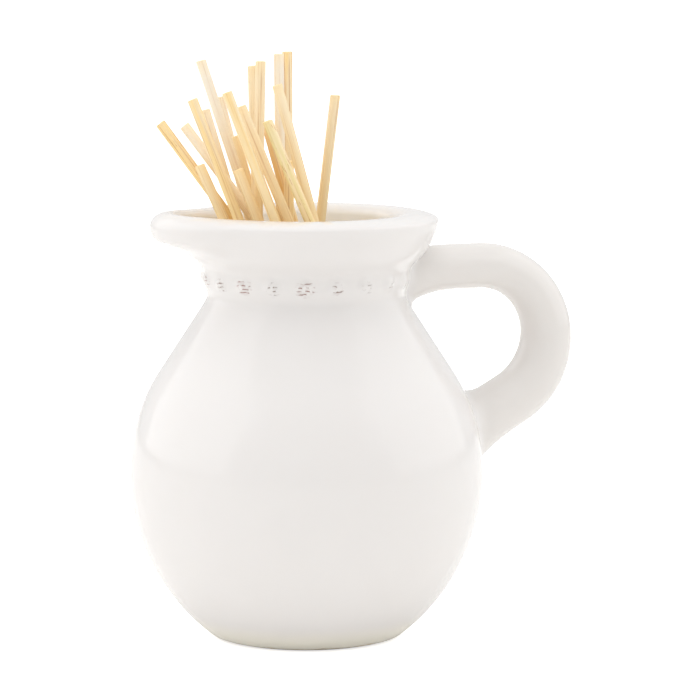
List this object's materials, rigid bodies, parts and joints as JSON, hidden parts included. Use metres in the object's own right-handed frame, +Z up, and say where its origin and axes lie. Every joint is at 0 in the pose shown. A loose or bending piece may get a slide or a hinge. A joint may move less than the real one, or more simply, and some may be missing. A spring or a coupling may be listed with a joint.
{
  "type": "toothpick holder",
  "caption": "Small glazed jug with a flared spouted rim, a beaded collar and a loop handle, holding a loose bunch of wooden toothpicks that lift out.",
  "frame": {"origin": "centre of the foot ring on the plane it rests on", "axes": "+Z up, +X towards the handle, -X towards the spout, +Y across so that the jug's two halves mirror each other"},
  "size_m": [0.067, 0.0514, 0.0848],
  "materials": {
    "glaze": "glossy white glaze on cast stoneware",
    "pick_wood": "split and rounded bamboo, bare"
  },
  "bodies": {
    "jug": {"jug_body": "glaze", "handle": "glaze"},
    "pick_01": {"toothpick_01": "pick_wood"},
    "pick_02": {"toothpick_02": "pick_wood"},
    "pick_03": {"toothpick_03": "pick_wood"},
    "pick_04": {"toothpick_04": "pick_wood"},
    "pick_05": {"toothpick_05": "pick_wood"},
    "pick_06": {"toothpick_06": "pick_wood"},
    "pick_07": {"toothpick_07": "pick_wood"},
    "pick_08": {"toothpick_08": "pick_wood"},
    "pick_09": {"toothpick_09": "pick_wood"},
    "pick_10": {"toothpick_10": "pick_wood"},
    "pick_11": {"toothpick_11": "pick_wood"},
    "pick_12": {"toothpick_12": "pick_wood"},
    "pick_13": {"toothpick_13": "pick_wood"},
    "pick_14": {"toothpick_14": "pick_wood"},
    "pick_15": {"toothpick_15": "pick_wood"},
    "pick_16": {"toothpick_16": "pick_wood"},
    "pick_17": {"toothpick_17": "pick_wood"},
    "pick_18": {"toothpick_18": "pick_wood"},
    "pick_19": {"toothpick_19": "pick_wood"},
    "pick_20": {"toothpick_20": "pick_wood"}
  },
  "joints": [
    {"name": "toothpick_01_lift", "type": "slide", "parent": "jug", "child": "pick_01", "axis": [-0.3387, 0.0834, 0.9372], "range_m": [0, 0.065]},
    {"name": "toothpick_02_lift", "type": "slide", "parent": "jug", "child": "pick_02", "axis": [-0.3701, 0.1151, 0.9218], "range_m": [0, 0.065]},
    {"name": "toothpick_03_lift", "type": "slide", "parent": "jug", "child": "pick_03", "axis": [-0.3338, 0.1215, 0.9348], "range_m": [0, 0.065]},
    {"name": "toothpick_04_lift", "type": "slide", "parent": "jug", "child": "pick_04", "axis": [-0.3565, 0.1297, 0.9253], "range_m": [0, 0.065]},
    {"name": "toothpick_05_lift", "type": "slide", "parent": "jug", "child": "pick_05", "axis": [-0.3338, 0.1215, 0.9348], "range_m": [0, 0.065]},
    {"name": "toothpick_06_lift", "type": "slide", "parent": "jug", "child": "pick_06", "axis": [-0.3856, 0.1404, 0.9119], "range_m": [0, 0.065]},
    {"name": "toothpick_07_lift", "type": "slide", "parent": "jug", "child": "pick_07", "axis": [-0.2449, 0.0892, 0.9654], "range_m": [0, 0.065]},
    {"name": "toothpick_08_lift", "type": "slide", "parent": "jug", "child": "pick_08", "axis": [-0.5541, 0.2017, 0.8077], "range_m": [0, 0.065]},
    {"name": "toothpick_09_lift", "type": "slide", "parent": "jug", "child": "pick_09", "axis": [-0.559, 0.2034, 0.8038], "range_m": [0, 0.065]},
    {"name": "toothpick_10_lift", "type": "slide", "parent": "jug", "child": "pick_10", "axis": [0.0188, -0.0068, 0.9998], "range_m": [0, 0.065]},
    {"name": "toothpick_11_lift", "type": "slide", "parent": "jug", "child": "pick_11", "axis": [0, 0, 1], "range_m": [0, 0.065]},
    {"name": "toothpick_12_lift", "type": "slide", "parent": "jug", "child": "pick_12", "axis": [-0.2945, 0.1072, 0.9496], "range_m": [0, 0.065]},
    {"name": "toothpick_13_lift", "type": "slide", "parent": "jug", "child": "pick_13", "axis": [-0.2449, 0.0892, 0.9654], "range_m": [0, 0.065]},
    {"name": "toothpick_14_lift", "type": "slide", "parent": "jug", "child": "pick_14", "axis": [-0.0248, 0.0196, 0.9995], "range_m": [0, 0.065]},
    {"name": "toothpick_15_lift", "type": "slide", "parent": "jug", "child": "pick_15", "axis": [-0.006, 0.0128, 0.9999], "range_m": [0, 0.065]},
    {"name": "toothpick_16_lift", "type": "slide", "parent": "jug", "child": "pick_16", "axis": [-0.2667, 0.1073, 0.9578], "range_m": [0, 0.065]},
    {"name": "toothpick_17_lift", "type": "slide", "parent": "jug", "child": "pick_17", "axis": [-0.2584, 0.1043, 0.9604], "range_m": [0, 0.065]},
    {"name": "toothpick_18_lift", "type": "slide", "parent": "jug", "child": "pick_18", "axis": [-0.2246, 0.0921, 0.9701], "range_m": [0, 0.065]},
    {"name": "toothpick_19_lift", "type": "slide", "parent": "jug", "child": "pick_19", "axis": [0.0068, 0.0188, 0.9998], "range_m": [0, 0.065]},
    {"name": "toothpick_20_lift", "type": "slide", "parent": "jug", "child": "pick_20", "axis": [0.1187, -0.0221, 0.9927], "range_m": [0, 0.065]}
  ]
}
